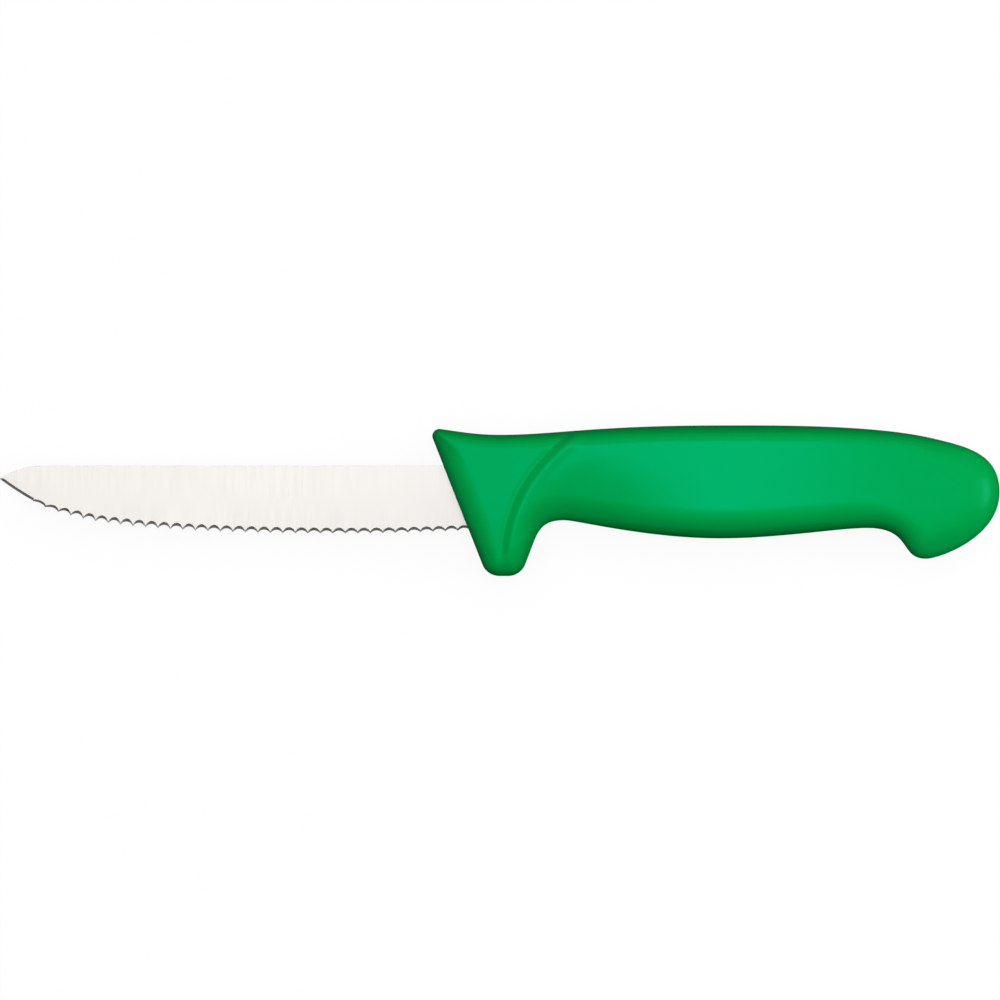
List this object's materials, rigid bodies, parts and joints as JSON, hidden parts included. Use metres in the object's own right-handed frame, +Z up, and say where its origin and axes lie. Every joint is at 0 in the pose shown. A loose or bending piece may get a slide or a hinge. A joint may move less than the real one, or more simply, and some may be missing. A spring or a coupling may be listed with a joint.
{
  "type": "vegetable knife",
  "caption": "Small vegetable knife with a thin straight-backed serrated steel blade and a moulded handle that has a finger guard, a finger notch and a hooked end.",
  "frame": {"origin": "middle of the knife's box, on the table that it lies on", "axes": "+X from the blade's tip towards the handle's hooked end, +Y from the edge towards the back of the blade, +Z up, square to the blade's sides"},
  "size_m": [0.2188, 0.0332, 0.017],
  "materials": {
    "blade_steel": "fine cross-ground stainless sheet",
    "guard_plastic": "satin green polypropylene",
    "grip_plastic": "satin green polypropylene with a fine moulded texture"
  },
  "bodies": {
    "root": {"blade": "blade_steel", "handle_core": "guard_plastic", "grip": "grip_plastic"}
  },
  "joints": []
}
